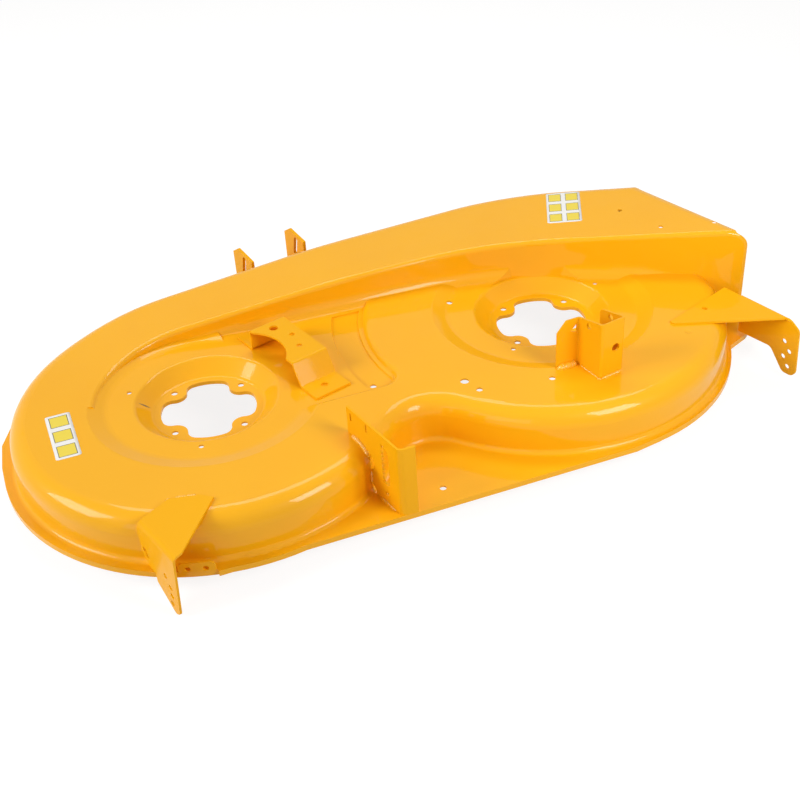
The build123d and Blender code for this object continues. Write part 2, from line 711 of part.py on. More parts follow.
with BuildPart() as front_bracket:
    for u in (ear_left_u, ear_right_u):
        with BuildSketch(side_plane(u)):
            with BuildLine():
                Polyline(*ear_outline, close=True)
            make_face()
            with Locations(ear_slot):
                SlotOverall(ear_slot_l, ear_slot_w, rotation=90 + ear_slot_tilt, mode=Mode.SUBTRACT)
        extrude(amount=ear_t)
    with BuildSketch(level_plane(shelf_z)):
        with Locations(((ear_left_u + ear_right_u + ear_t) / 2, shelf_v / 2)):
            Rectangle(ear_right_u + ear_t - ear_left_u, shelf_v)
    extrude(amount=plate_t)
    with BuildSketch(Plane.XY.offset(shelf_z)):
        with Locations((0, chamber_r - far_out / 2)):
            Rectangle(far_out, far_out)
    extrude(amount=far_out, mode=Mode.SUBTRACT)
    # upright web that lies on the front wall
    with BuildSketch(Plane.XY.offset(shelf_z)):
        with BuildLine():
            Polyline((web_left_x, chamber_r), (web_right_x, chamber_r), (web_right_x, chamber_r + plate_t),
                     (web_left_x, chamber_r + plate_t), close=True)
        make_face()
    extrude(amount=web_top_z - shelf_z)
front_bracket.part.label = "front_bracket"
export_step(front_bracket.part, "parts/front_bracket.step")

gusset_lean = math.radians(gusset_turn)
gusset_along = Vector(-math.sin(gusset_lean), math.cos(gusset_lean), 0)
gusset_out = Vector(math.cos(gusset_lean), math.sin(gusset_lean), 0)
gusset_spot = Vector(gusset_x, -rear_y, 0)
gusset_face = Plane(origin=gusset_spot, x_dir=gusset_along, z_dir=gusset_out)
nearest = -gusset_spot.dot(gusset_along)
gusset_wall = nearest - math.sqrt(nearest ** 2 - gusset_spot.length ** 2 + chamber_r ** 2)
with BuildPart() as centre_gusset:
    far = gusset_spot + gusset_along * gusset_l
    far_right = far + gusset_out * plate_t
    right_face = (gusset_out.X, gusset_out.Y, gusset_spot.dot(gusset_out) + plate_t)
    inner = cross_lines(right_face, (0, 1, plate_t - rear_y))
    with BuildSketch(Plane.XY.offset(flange_z)) as strip:
        with BuildLine():
            Polyline((gusset_x, -rear_y), (far.X, far.Y), (far_right.X, far_right.Y), inner,
                     (gusset_x + gusset_leg, plate_t - rear_y), (gusset_x + gusset_leg, -rear_y), close=True)
        make_face()
        fillet(corner_of(strip, (gusset_x, -rear_y)), gusset_bend_r)
        fillet(corner_of(strip, inner), gusset_bend_r - plate_t)
    extrude(amount=gusset_top_z - flange_z)
    add(chambers, mode=Mode.SUBTRACT)
    with BuildSketch(gusset_face) as cuts:
        with BuildLine():
            teeth = []
            for k in range(tooth_count):
                teeth.append((tooth_slot_far, tooth_slot_low_z + k * tooth_pitch))
                teeth.append((tooth_slot_far - tooth_depth, tooth_slot_low_z + (k + 0.5) * tooth_pitch))
            Polyline((tooth_slot_near, tooth_slot_low_z), *teeth, (tooth_slot_far, tooth_slot_high_z),
                     (tooth_slot_near, tooth_slot_high_z), close=True)
        make_face()
        fillet(corner_of(cuts, (tooth_slot_near, tooth_slot_high_z)), tooth_slot_r)
        with Locations(gusset_hole):
            Circle(small_hole_r)
        with Locations(*gusset_slots):
            SlotOverall(gusset_slot_l, gusset_slot_w, rotation=90)
        # opening beside the chamber's crown and relief over the cove at its foot
        notch = [(gusset_wall + x, z) for x, z in gusset_notch]
        with BuildLine():
            ThreePointArc(*notch)
            Line(notch[2], notch[0])
        make_face()
        with Locations((gusset_wall, flange_z)):
            Circle(gusset_relief_r)
    extrude(amount=plate_t, mode=Mode.SUBTRACT)
centre_gusset.part.label = "centre_gusset"
export_step(centre_gusset.part, "parts/centre_gusset.step")

# upturned ear standing on the flange, flush with the lip
tab_out = Vector(math.cos(math.radians(tab_turn)), math.sin(math.radians(tab_turn)), 0)
tab_plane = Plane(origin=(0, 0, 0), x_dir=(-tab_out.Y, tab_out.X, 0), z_dir=tab_out)
with BuildPart() as rear_tab:
    with BuildSketch(Plane.XY.offset(flange_z)):
        Circle(left_rim_r)
        Circle(left_rim_r - sheet, mode=Mode.SUBTRACT)
    extrude(amount=rim_z + tab_h - flange_z)
    with BuildSketch(tab_plane) as tab:
        with Locations((0, rim_z + tab_h / 2)):
            Rectangle(tab_w, tab_h)
        fillet(tab.vertices().sort_by(Axis.Y)[2:], tab_corner_r)
        with Locations((-tab_hole_gap / 2, flange_z + tab_hole_z), (tab_hole_gap / 2, flange_z + tab_hole_z)):
            Circle(tab_hole_r, mode=Mode.SUBTRACT)
    extrude(amount=left_rim_r, mode=Mode.INTERSECT)
rear_tab.part.label = "rear_tab"
export_step(rear_tab.part, "parts/rear_tab.step")
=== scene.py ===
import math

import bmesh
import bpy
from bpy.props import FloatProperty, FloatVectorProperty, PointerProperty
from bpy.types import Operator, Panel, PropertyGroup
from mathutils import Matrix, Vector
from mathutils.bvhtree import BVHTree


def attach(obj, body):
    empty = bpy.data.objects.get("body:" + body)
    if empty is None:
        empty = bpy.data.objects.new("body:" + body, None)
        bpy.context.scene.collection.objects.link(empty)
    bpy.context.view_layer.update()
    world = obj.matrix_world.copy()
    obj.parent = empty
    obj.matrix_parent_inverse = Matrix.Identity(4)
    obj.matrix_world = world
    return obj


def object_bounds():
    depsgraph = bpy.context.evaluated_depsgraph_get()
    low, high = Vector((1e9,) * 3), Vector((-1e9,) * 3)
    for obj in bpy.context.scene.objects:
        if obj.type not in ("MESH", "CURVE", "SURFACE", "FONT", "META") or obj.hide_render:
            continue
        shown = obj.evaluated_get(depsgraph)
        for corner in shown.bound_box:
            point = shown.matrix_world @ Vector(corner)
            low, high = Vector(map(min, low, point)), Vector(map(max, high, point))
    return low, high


bl_info = {
    "name": "Mower Deck Finish",
    "version": (1, 0, 0),
    "blender": (4, 5, 0),
    "location": "View3D > Sidebar > Deck",
    "description": "Paints a pressed steel mower deck, lays its welds and stickers and sets its studio",
    "category": "Object",
}

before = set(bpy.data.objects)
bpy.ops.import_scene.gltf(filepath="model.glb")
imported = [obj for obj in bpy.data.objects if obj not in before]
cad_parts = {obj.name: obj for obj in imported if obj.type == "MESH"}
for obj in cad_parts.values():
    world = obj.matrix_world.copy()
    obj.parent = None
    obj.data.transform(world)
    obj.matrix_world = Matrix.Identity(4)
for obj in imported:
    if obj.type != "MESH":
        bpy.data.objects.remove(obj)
CAD_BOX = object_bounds()
SHELL = "deck_shell"
BRACKETS = [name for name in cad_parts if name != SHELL]

# Heights of the chambers' tops and of the flange
TOP = 0.026
FLANGE = -0.037
# The left chamber's top is flat out to the first radius and rounds over into its wall by the second
FLAT_RADIUS = 0.239
CROWN_RADIUS = 0.025
# Plug weld beside the right wheel bracket, and how far its dent reaches
PLUG_WELDS = ((0.6523, -0.1495, TOP),)
DENT_REACH = (0.006, 0.006, 0.02)
# Mark rubbed on the left dish: its place, its tilt down the dish and how far it reaches
RUB_PLACE = (-0.0805, 0.0306, 0.0095)
RUB_TILT = math.radians(41.0)
RUB_REACH = (0.0120, 0.0022, 0.006)
# Weld beads: distance from ring to ring as a share of a ripple, and sides of a ring
RING_STEP = 0.2
RING_SIDES = 10
# Stickers: half sizes of a printed field and its outline as shares of a cell, then the rows and
# columns of the sheet's mesh, and the gap that keeps it clear of the paint
FIELD_REACH = 0.34
OUTLINE_REACH = 0.37
CORNER_ROWS = (0.0, 0.3, 0.7, 1.0)
STICKER_ROWS = 12
STICKER_COLUMNS = 8
STICKER_GAP = 0.00005
# Studio: half width of the floor, its gap below the deck, the colour of the light that it sends back,
# the sum of its own white and its lit grey, and the width of the camera's sensor in millimetres
FLOOR_REACH = 30.0
FLOOR_GAP = 0.0005
FLOOR_BOUNCE = (0.62, 0.58, 0.53, 1.0)
FLOOR_SUM = 1.1
WHITE = (1.0, 1.0, 1.0, 1.0)
SENSOR_WIDTH = 36.0


class DeckPaintSettings(PropertyGroup):
    """Colour and gloss of the paint on the pressing and its brackets"""

    colour: FloatVectorProperty(
        name="Paint", description="Colour of a full coat of paint", subtype="COLOR",
        size=3, min=0.0, max=1.0, default=(0.93, 0.450, 0.005))
    thin_colour: FloatVectorProperty(
        name="Thin Coat", description="Colour where the coat is a little thinner", subtype="COLOR",
        size=3, min=0.0, max=1.0, default=(0.90, 0.410, 0.004))
    rub_colour: FloatVectorProperty(
        name="Rub Mark", description="Colour of the grey mark rubbed on the left dish", subtype="COLOR",
        size=3, min=0.0, max=1.0, default=(0.20, 0.13, 0.05))
    gloss_roughness: FloatProperty(
        name="Gloss Roughness", description="Roughness of the smoothest paint", min=0.0, max=1.0,
        default=0.30)
    dull_roughness: FloatProperty(
        name="Dull Roughness", description="Roughness of the dullest paint", min=0.0, max=1.0,
        default=0.42)
    peel_size: FloatProperty(
        name="Peel Size", description="Distance between the waves of the sprayed coat", unit="LENGTH",
        min=0.0005, default=0.004)


class WeldSettings(PropertyGroup):
    """Size of the weld beads"""

    bead_width: FloatProperty(
        name="Bead Width", description="Width of a weld bead", unit="LENGTH", min=0.001, default=0.0056)
    ripple_pitch: FloatProperty(
        name="Ripple Pitch", description="Distance from ripple to ripple along a bead", unit="LENGTH",
        min=0.0005, default=0.0026)
    ripple_depth: FloatProperty(
        name="Ripple Depth", description="Share of the bead's radius that its ripples take",
        min=0.0, max=0.5, default=0.07)


class StickerSettings(PropertyGroup):
    """Places and colours of the two plain stickers"""

    left_centre: FloatVectorProperty(
        name="Left Sticker", description="Centre of the left sticker in plan", subtype="XYZ", size=2,
        default=(-0.1945, -0.0135))
    left_size: FloatVectorProperty(
        name="Left Size", description="Width and length of the left sticker", subtype="XYZ", size=2,
        default=(0.033, 0.100))
    left_turn: FloatProperty(
        name="Left Turn", description="Turn of the left sticker in plan", subtype="ANGLE", default=0.0)
    right_centre: FloatVectorProperty(
        name="Right Sticker", description="Centre of the right sticker in plan", subtype="XYZ", size=2,
        default=(0.617, 0.160))
    right_size: FloatVectorProperty(
        name="Right Size", description="Width and length of the right sticker", subtype="XYZ", size=2,
        default=(0.052, 0.092))
    right_turn: FloatProperty(
        name="Right Turn", description="Turn of the right sticker in plan", subtype="ANGLE",
        default=math.radians(-25.0))
    thickness: FloatProperty(
        name="Thickness", description="Thickness of the vinyl", unit="LENGTH", default=0.0002)
    corner_radius: FloatProperty(
        name="Corner Radius", description="Radius of the sticker's corners", unit="LENGTH", default=0.003)
    vinyl: FloatVectorProperty(
        name="Vinyl", description="Colour of the white vinyl", subtype="COLOR",
        size=3, min=0.0, max=1.0, default=(0.86, 0.86, 0.84))
    field: FloatVectorProperty(
        name="Field", description="Colour of the plain printed fields", subtype="COLOR",
        size=3, min=0.0, max=1.0, default=(0.84, 0.66, 0.05))
    line: FloatVectorProperty(
        name="Line", description="Colour of the printed outlines", subtype="COLOR",
        size=3, min=0.0, max=1.0, default=(0.10, 0.10, 0.09))


class StudioSettings(PropertyGroup):
    """Camera and light of the studio"""

    camera_place: FloatVectorProperty(
        name="Camera", description="Place of the camera", subtype="XYZ", size=3,
        default=(-0.2147, -1.4070, 1.0033))
    camera_heading: FloatProperty(
        name="Heading", description="Turn of the camera about the vertical", subtype="ANGLE",
        default=math.radians(-19.17))
    camera_pitch: FloatProperty(
        name="Pitch", description="Angle of the view below the horizon", subtype="ANGLE",
        default=math.radians(35.82))
    camera_roll: FloatProperty(
        name="Roll", description="Turn of the camera about its view", subtype="ANGLE",
        default=math.radians(-3.68))
    lens: FloatProperty(
        name="Lens", description="Focal length on a 36 mm wide sensor, in millimetres", default=57.17)
    ambient: FloatProperty(
        name="Ambient", description="Strength of the even light from all round", min=0.0, default=0.17)
    ambient_tint: FloatVectorProperty(
        name="Ambient Tint", description="Colour of the even light", subtype="COLOR",
        size=3, min=0.0, max=1.0, default=(1.0, 0.90, 0.78))
    back_power: FloatProperty(
        name="Back Light", description="Power of the long lamp above and behind", unit="POWER",
        min=0.0, default=18.5)
    left_power: FloatProperty(
        name="Left Light", description="Power of the lamp on the left", unit="POWER",
        min=0.0, default=67.0)
    right_power: FloatProperty(
        name="Right Light", description="Power of the small lamp in front on the right", unit="POWER",
        min=0.0, default=10.0)
    fill_power: FloatProperty(
        name="Fill Light", description="Power of the wide soft lamp left of the camera", unit="POWER",
        min=0.0, default=13.0)
    floor_white: FloatProperty(
        name="Floor White", description="Share of the floor's white that doesn't depend on its shadow",
        min=0.0, max=1.0, default=0.86)
    backdrop_white: FloatProperty(
        name="Backdrop White", description="White of the backdrop past the floor",
        min=0.0, max=1.0, default=0.9)


def new_material(name):
    """Node material with nothing in it yet"""
    material = bpy.data.materials.new(name)
    material.use_nodes = True
    material.node_tree.nodes.clear()
    return material


def add_node(tree, kind, **settings):
    """New node with its properties set"""
    node = tree.nodes.new(kind)
    for key, value in settings.items():
        setattr(node, key, value)
    return node


def value_node(tree, operation, first, second):
    """Output of a math node that is fed by sockets or plain numbers"""
    node = add_node(tree, "ShaderNodeMath", operation=operation)
    for socket, source in zip(node.inputs, (first, second)):
        if isinstance(source, (int, float)):
            socket.default_value = source
        else:
            tree.links.new(source, socket)
    return node.outputs[0]


def new_group(name, inputs, outputs):
    """Shader node group with named sockets, and its two end nodes"""
    group = bpy.data.node_groups.new(name, "ShaderNodeTree")
    for label, kind in inputs:
        group.interface.new_socket(label, in_out="INPUT", socket_type=kind)
    for label, kind in outputs:
        group.interface.new_socket(label, in_out="OUTPUT", socket_type=kind)
    return group, add_node(group, "NodeGroupInput"), add_node(group, "NodeGroupOutput")


def paint_film_group():
    """Sprayed coat: its colour and roughness drift a little over the sheet"""
    group, start, end = new_group(
        "paint_film",
        [("Place", "NodeSocketVector"), ("Full Coat", "NodeSocketColor"), ("Thin Coat", "NodeSocketColor"),
         ("Gloss", "NodeSocketFloat"), ("Dull", "NodeSocketFloat")],
        [("Colour", "NodeSocketColor"), ("Roughness", "NodeSocketFloat")])
    drift = add_node(group, "ShaderNodeTexNoise")
    drift.inputs["Scale"].default_value = 7.0
    drift.inputs["Detail"].default_value = 3.0
    group.links.new(start.outputs["Place"], drift.inputs["Vector"])
    amount = add_node(group, "ShaderNodeMapRange")
    amount.inputs["From Min"].default_value = 0.42
    amount.inputs["From Max"].default_value = 0.72
    amount.inputs["To Max"].default_value = 0.45
    group.links.new(drift.outputs["Fac"], amount.inputs["Value"])
    mix = add_node(group, "ShaderNodeMix", data_type="RGBA")
    group.links.new(amount.outputs["Result"], mix.inputs["Factor"])
    group.links.new(start.outputs["Full Coat"], mix.inputs["A"])
    group.links.new(start.outputs["Thin Coat"], mix.inputs["B"])
    group.links.new(mix.outputs["Result"], end.inputs["Colour"])
    haze = add_node(group, "ShaderNodeTexNoise")
    haze.inputs["Scale"].default_value = 38.0
    haze.inputs["Detail"].default_value = 4.0
    group.links.new(start.outputs["Place"], haze.inputs["Vector"])
    level = add_node(group, "ShaderNodeMapRange")
    level.inputs["From Min"].default_value = 0.35
    level.inputs["From Max"].default_value = 0.70
    group.links.new(haze.outputs["Fac"], level.inputs["Value"])
    group.links.new(start.outputs["Gloss"], level.inputs["To Min"])
    group.links.new(start.outputs["Dull"], level.inputs["To Max"])
    group.links.new(level.outputs["Result"], end.inputs["Roughness"])
    return group


def orange_peel_group():
    """Fine waves of a sprayed coat, as a height"""
    group, start, end = new_group(
        "orange_peel",
        [("Place", "NodeSocketVector"), ("Wave", "NodeSocketFloat")],
        [("Height", "NodeSocketFloat")])
    waves = add_node(group, "ShaderNodeTexNoise")
    waves.inputs["Detail"].default_value = 1.5
    waves.inputs["Roughness"].default_value = 0.4
    group.links.new(start.outputs["Place"], waves.inputs["Vector"])
    group.links.new(value_node(group, "DIVIDE", 1.0, start.outputs["Wave"]), waves.inputs["Scale"])
    group.links.new(waves.outputs["Fac"], end.inputs["Height"])
    return group


def rub_mark_group():
    """Mask of one short mark rubbed into the paint, in its own turned and stretched place"""
    group, start, end = new_group(
        "rub_mark", [("Place", "NodeSocketVector")], [("Mask", "NodeSocketFloat")])
    reach = add_node(group, "ShaderNodeVectorMath", operation="LENGTH")
    group.links.new(start.outputs["Place"], reach.inputs[0])
    fade = add_node(group, "ShaderNodeMapRange", interpolation_type="SMOOTHSTEP")
    fade.inputs["From Min"].default_value = 1.0
    fade.inputs["From Max"].default_value = 0.25
    group.links.new(reach.outputs["Value"], fade.inputs["Value"])
    grit = add_node(group, "ShaderNodeTexNoise")
    grit.inputs["Scale"].default_value = 2.5
    grit.inputs["Detail"].default_value = 5.0
    group.links.new(start.outputs["Place"], grit.inputs["Vector"])
    grain = value_node(group, "MULTIPLY", grit.outputs["Fac"], 1.9)
    mask = value_node(group, "MULTIPLY", fade.outputs["Result"], grain)
    mask.node.use_clamp = True
    group.links.new(mask, end.inputs["Mask"])
    return group


def weld_dimple_group():
    """Round dent that a plug weld leaves in the sheet, as a height round its own place"""
    group, start, end = new_group(
        "weld_dimple", [("Place", "NodeSocketVector")], [("Height", "NodeSocketFloat")])
    reach = add_node(group, "ShaderNodeVectorMath", operation="LENGTH")
    group.links.new(start.outputs["Place"], reach.inputs[0])
    dent = add_node(group, "ShaderNodeMapRange", interpolation_type="SMOOTHSTEP")
    dent.inputs["From Min"].default_value = 0.45
    dent.inputs["From Max"].default_value = 1.0
    group.links.new(reach.outputs["Value"], dent.inputs["Value"])
    group.links.new(dent.outputs["Result"], end.inputs["Height"])
    return group


def place_group(material, name, maker):
    """Puts a node group in a material, and builds it for the first one that asks"""
    node = add_node(material.node_tree, "ShaderNodeGroup")
    node.node_tree = bpy.data.node_groups.get(name) or maker()
    return node


def gloss_paint(name, settings, peel_strength, rough_gain, shine, clear_top):
    """Gloss paint with its film, its orange peel and a clear top, and its film and shader nodes"""
    material = new_material(name)
    tree = material.node_tree
    place = add_node(tree, "ShaderNodeTexCoord")
    film = place_group(material, "paint_film", paint_film_group)
    film.inputs["Full Coat"].default_value = (*settings.colour, 1.0)
    film.inputs["Thin Coat"].default_value = (*settings.thin_colour, 1.0)
    film.inputs["Gloss"].default_value = settings.gloss_roughness * rough_gain
    film.inputs["Dull"].default_value = settings.dull_roughness * rough_gain
    tree.links.new(place.outputs["Object"], film.inputs["Place"])
    peel = place_group(material, "orange_peel", orange_peel_group)
    peel.inputs["Wave"].default_value = settings.peel_size
    tree.links.new(place.outputs["Object"], peel.inputs["Place"])
    bump = add_node(tree, "ShaderNodeBump")
    bump.inputs["Strength"].default_value = peel_strength
    bump.inputs["Distance"].default_value = 0.0004
    tree.links.new(peel.outputs["Height"], bump.inputs["Height"])
    shader = add_node(tree, "ShaderNodeBsdfPrincipled")
    shader.inputs["Specular IOR Level"].default_value = shine
    shader.inputs["Coat Weight"].default_value = clear_top
    shader.inputs["Coat Roughness"].default_value = 0.05
    tree.links.new(film.outputs["Colour"], shader.inputs["Base Color"])
    tree.links.new(film.outputs["Roughness"], shader.inputs["Roughness"])
    tree.links.new(bump.outputs["Normal"], shader.inputs["Normal"])
    end = add_node(tree, "ShaderNodeOutputMaterial")
    tree.links.new(shader.outputs["BSDF"], end.inputs["Surface"])
    return material, film, shader


def pressing_paint(settings):
    """Paint of the pressing, with the mark rubbed on its left dish and the dents of its plug welds"""
    material, film, shader = gloss_paint(
        "pressing_paint", settings, peel_strength=0.10, rough_gain=1.0, shine=0.08, clear_top=0.42)
    tree = material.node_tree
    place = add_node(tree, "ShaderNodeTexCoord")
    frame_of_mark = add_node(tree, "ShaderNodeMapping", vector_type="TEXTURE")
    frame_of_mark.inputs["Location"].default_value = RUB_PLACE
    frame_of_mark.inputs["Rotation"].default_value = (0.0, RUB_TILT, 0.0)
    frame_of_mark.inputs["Scale"].default_value = RUB_REACH
    tree.links.new(place.outputs["Object"], frame_of_mark.inputs["Vector"])
    mark = place_group(material, "rub_mark", rub_mark_group)
    tree.links.new(frame_of_mark.outputs["Vector"], mark.inputs["Place"])
    mix = add_node(tree, "ShaderNodeMix", data_type="RGBA")
    mix.inputs["B"].default_value = (*settings.rub_colour, 1.0)
    tree.links.new(mark.outputs["Mask"], mix.inputs["Factor"])
    tree.links.new(film.outputs["Colour"], mix.inputs["A"])
    tree.links.new(mix.outputs["Result"], shader.inputs["Base Color"])
    for spot in PLUG_WELDS:
        frame_of_dent = add_node(tree, "ShaderNodeMapping", vector_type="TEXTURE")
        frame_of_dent.inputs["Location"].default_value = spot
        frame_of_dent.inputs["Scale"].default_value = DENT_REACH
        tree.links.new(place.outputs["Object"], frame_of_dent.inputs["Vector"])
        dent = place_group(material, "weld_dimple", weld_dimple_group)
        tree.links.new(frame_of_dent.outputs["Vector"], dent.inputs["Place"])
        bump = add_node(tree, "ShaderNodeBump")
        bump.inputs["Strength"].default_value = 0.6
        bump.inputs["Distance"].default_value = 0.0012
        tree.links.new(dent.outputs["Height"], bump.inputs["Height"])
        tree.links.new(shader.inputs["Normal"].links[0].from_socket, bump.inputs["Normal"])
        tree.links.new(bump.outputs["Normal"], shader.inputs["Normal"])
    return material


def bracket_paint(settings):
    """Paint of the folded plates, over a slightly coarser sheet"""
    material, _, _ = gloss_paint(
        "bracket_paint", settings, peel_strength=0.16, rough_gain=1.1, shine=0.05, clear_top=0.16)
    return material


def weld_paint(settings):
    """Paint over the weld beads"""
    material, _, _ = gloss_paint(
        "weld_paint", settings, peel_strength=0.1, rough_gain=0.8, shine=0.4, clear_top=0.8)
    return material


def dress_node(name, material):
    """Gives a node of the frame one material"""
    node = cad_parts[name]
    node.data.materials.clear()
    node.data.materials.append(material)


def crown_height(point):
    """Height of the left chamber's top and crown at a point in plan"""
    past = point.to_2d().length - FLAT_RADIUS
    if past < 0.0:
        return TOP
    return TOP - CROWN_RADIUS + math.sqrt(max(CROWN_RADIUS ** 2 - past ** 2, 0.0))


def idler_seams():
    """Beads round the foot of the upright channel and along its tab, each with its weight"""
    turn = math.radians(10.0)
    width = 0.039
    depth = 0.049
    wall_reach = (0.004, 0.044)
    web_reach = (0.003, 0.037)
    corner = Vector((0.4873, -0.1988, TOP))
    along = Vector((math.cos(turn), math.sin(turn), 0.0))
    back = Vector((-along.y, along.x, 0.0))
    right_corner = corner + along * width
    heel = corner + back * depth
    web = [corner + along * reach for reach in web_reach]
    left_wall = [corner + back * reach for reach in wall_reach]
    right_wall = [right_corner + back * reach for reach in wall_reach]
    tab = [heel + Vector((-0.032, -0.003, 0.0)), heel + Vector((-0.001, -0.001, 0.0))]
    nose = [corner + Vector((-0.003, 0.002, 0.0005)), corner + Vector((0.002, -0.001, 0.0005))]
    return [(web, 1.0), (left_wall, 0.7), (right_wall, 0.7), (tab, 2.2), (nose, 1.2)]


def gusset_seams():
    """Beads that hold the rear gusset to the flange, the wall and the crown, each with its weight"""
    crown_reach = (0.070, 0.075, 0.080, 0.086, 0.093, 0.100, 0.106)
    foot_reach = (0.014, 0.050)
    wall_reach = 0.0665
    wall_heights = (-0.028, -0.006)
    fold = Vector((0.1717, -0.2770, 0.0))
    along = Vector((-0.22835, 0.97358, 0.0))
    crown = []
    for reach in crown_reach:
        point = fold + along * reach
        crown.append(Vector((point.x, point.y, crown_height(point))))
    foot = [fold + along * reach + Vector((0.0, 0.0, FLANGE)) for reach in foot_reach]
    wall = [fold + along * wall_reach + Vector((0.0, 0.0, height)) for height in wall_heights]
    return [(crown, 1.6), (foot, 1.0), (wall, 1.0)]


def bracket_seams():
    """Beads at the left wheel bracket's far edge and on the front bracket's web, each with its weight"""
    edge_height = TOP + 0.001
    web_height = 0.006
    web_ahead = 0.2645
    left_far = [Vector((-0.092, -0.2005, edge_height)), Vector((-0.062, -0.2077, edge_height))]
    left_spot = [Vector((-0.1005, -0.2000, TOP)), Vector((-0.0950, -0.1985, TOP))]
    front_web = [Vector((across, web_ahead, web_height)) for across in (0.156, 0.262)]
    return [(left_far, 0.9), (left_spot, 1.3), (front_web, 1.0)]


def weld_bead_tree(material):
    """Geometry nodes that lay a rippled bead along each seam, a little uneven and thinner at its ends"""
    wander_least = 0.75
    wander_spread = 0.5
    tree = bpy.data.node_groups.new("weld_bead", "GeometryNodeTree")
    tree.interface.new_socket("Seams", in_out="INPUT", socket_type="NodeSocketGeometry")
    for label in ("Bead Width", "Ripple Pitch", "Ripple Depth"):
        tree.interface.new_socket(label, in_out="INPUT", socket_type="NodeSocketFloat")
    tree.interface.new_socket("Beads", in_out="OUTPUT", socket_type="NodeSocketGeometry")
    start = add_node(tree, "NodeGroupInput")
    end = add_node(tree, "NodeGroupOutput")
    steps = add_node(tree, "GeometryNodeResampleCurve", mode="LENGTH")
    step = value_node(tree, "MULTIPLY", start.outputs["Ripple Pitch"], RING_STEP)
    tree.links.new(step, steps.inputs["Length"])
    tree.links.new(start.outputs["Seams"], steps.inputs["Curve"])
    along = add_node(tree, "GeometryNodeSplineParameter")
    whole = add_node(tree, "GeometryNodeSplineLength")
    turns = value_node(tree, "DIVIDE", along.outputs["Length"], start.outputs["Ripple Pitch"])
    wave = value_node(tree, "SINE", value_node(tree, "MULTIPLY", turns, math.tau), 0.0)
    ripple = value_node(tree, "MULTIPLY_ADD", wave, start.outputs["Ripple Depth"])
    ripple.node.inputs[2].default_value = 1.0
    behind = value_node(tree, "SUBTRACT", whole.outputs["Length"], along.outputs["Length"])
    nearest = value_node(tree, "MINIMUM", along.outputs["Length"], behind)
    taper = add_node(tree, "ShaderNodeMapRange", interpolation_type="SMOOTHSTEP")
    tree.links.new(nearest, taper.inputs["Value"])
    tree.links.new(start.outputs["Bead Width"], taper.inputs["From Max"])
    taper.inputs["To Min"].default_value = 0.35
    drift = add_node(tree, "ShaderNodeTexNoise", noise_dimensions="1D")
    drift.inputs["Scale"].default_value = 0.45
    tree.links.new(turns, drift.inputs["W"])
    wander = value_node(tree, "MULTIPLY_ADD", drift.outputs["Fac"], wander_spread)
    wander.node.inputs[2].default_value = wander_least
    swell = value_node(tree, "MULTIPLY", ripple, wander)
    size = value_node(tree, "MULTIPLY", swell, taper.outputs["Result"])
    weight = add_node(tree, "GeometryNodeInputRadius")
    half = value_node(tree, "MULTIPLY", start.outputs["Bead Width"], 0.5)
    half = value_node(tree, "MULTIPLY", half, weight.outputs["Radius"])
    ring = add_node(tree, "GeometryNodeCurvePrimitiveCircle")
    ring.inputs["Resolution"].default_value = RING_SIDES
    ring.inputs["Radius"].default_value = 1.0
    sweep = add_node(tree, "GeometryNodeCurveToMesh")
    sweep.inputs["Fill Caps"].default_value = True
    tree.links.new(value_node(tree, "MULTIPLY", size, half), sweep.inputs["Scale"])
    tree.links.new(steps.outputs["Curve"], sweep.inputs["Curve"])
    tree.links.new(ring.outputs["Curve"], sweep.inputs["Profile Curve"])
    smooth = add_node(tree, "GeometryNodeSetShadeSmooth")
    tree.links.new(sweep.outputs["Mesh"], smooth.inputs["Geometry"])
    real = add_node(tree, "GeometryNodeRealizeInstances")
    tree.links.new(smooth.outputs["Geometry"], real.inputs["Geometry"])
    dress = add_node(tree, "GeometryNodeSetMaterial")
    dress.inputs["Material"].default_value = material
    tree.links.new(real.outputs["Geometry"], dress.inputs["Geometry"])
    tree.links.new(dress.outputs["Geometry"], end.inputs["Beads"])
    return tree


def seam_curve(name, seams):
    """Curve object with one spline for each seam, its radius the weight of the bead"""
    curve = bpy.data.curves.new(name, "CURVE")
    curve.dimensions = "3D"
    for path, weight in seams:
        spline = curve.splines.new("POLY")
        spline.points.add(len(path) - 1)
        for point, place in zip(spline.points, path):
            point.co = (*place, 1.0)
            point.radius = weight
    seam = bpy.data.objects.new(name, curve)
    bpy.context.scene.collection.objects.link(seam)
    return seam


def plain_mesh(source, name):
    """Mesh object of what an object's modifiers make, in place of the object"""
    graph = bpy.context.evaluated_depsgraph_get()
    mesh = bpy.data.meshes.new_from_object(source.evaluated_get(graph))
    bpy.data.objects.remove(source)
    mesh.name = name
    piece = bpy.data.objects.new(name, mesh)
    bpy.context.scene.collection.objects.link(piece)
    return piece


